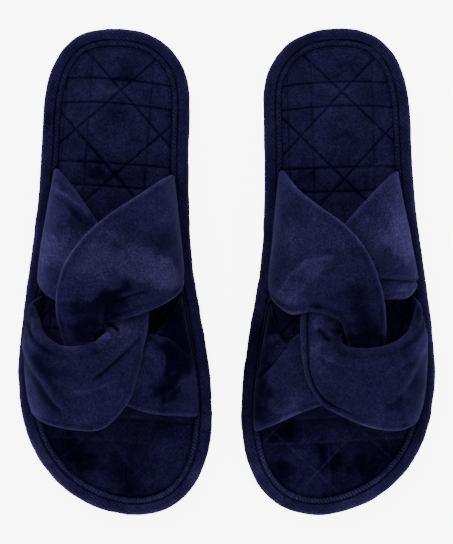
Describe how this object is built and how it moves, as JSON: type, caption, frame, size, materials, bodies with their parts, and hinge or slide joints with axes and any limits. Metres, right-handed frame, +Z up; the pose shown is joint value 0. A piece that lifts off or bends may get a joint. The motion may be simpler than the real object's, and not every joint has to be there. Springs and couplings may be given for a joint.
{
  "type": "spa slippers",
  "caption": "Pair of open-toe, open-back house slippers: foam platform soles in velour, quilted footbeds, and padded velour straps hooked together over the instep.",
  "frame": {"origin": "centre of the pair's bounding box, on the floor", "axes": "+Z up; -Y towards the toes; the left slipper at +X and the right slipper at -X"},
  "size_m": [0.2288, 0.2678, 0.0674],
  "materials": {
    "outsole_rubber": "matt moulded",
    "platform_foam": "closed-cell foam",
    "wrap_velour": "short-pile velour",
    "insole_fibre": "pressed fibre board",
    "pad_foam": "open-cell foam",
    "footbed_velour": "quilted short-pile velour",
    "strap_velour": "short-pile velour",
    "strap_lining": "short-pile velour",
    "thread": "polyester sewing thread"
  },
  "bodies": {
    "left_slipper": {"left_outsole": "outsole_rubber", "left_platform": "platform_foam", "left_platform_wrap": "wrap_velour", "left_rim_piping": "wrap_velour", "left_insole_board": "insole_fibre", "left_footbed_foam": "pad_foam", "left_footbed_cover": "footbed_velour", "left_edge_stitching": "thread", "left_quilt_stitching": "thread", "left_medial_strap_cover": "strap_velour", "left_medial_strap_padding": "pad_foam", "left_medial_strap_lining": "strap_lining", "left_lateral_strap_cover": "strap_velour", "left_lateral_strap_padding": "pad_foam", "left_lateral_strap_lining": "strap_lining"},
    "right_slipper": {"right_outsole": "outsole_rubber", "right_platform": "platform_foam", "right_platform_wrap": "wrap_velour", "right_rim_piping": "wrap_velour", "right_insole_board": "insole_fibre", "right_footbed_foam": "pad_foam", "right_footbed_cover": "footbed_velour", "right_edge_stitching": "thread", "right_quilt_stitching": "thread", "right_medial_strap_cover": "strap_velour", "right_medial_strap_padding": "pad_foam", "right_medial_strap_lining": "strap_lining", "right_lateral_strap_cover": "strap_velour", "right_lateral_strap_padding": "pad_foam", "right_lateral_strap_lining": "strap_lining"}
  },
  "joints": [
    {"name": "right_slipper_lift", "type": "slide", "parent": "left_slipper", "child": "right_slipper", "axis": [0, 0, 1], "range_m": [0, 0.25]}
  ]
}
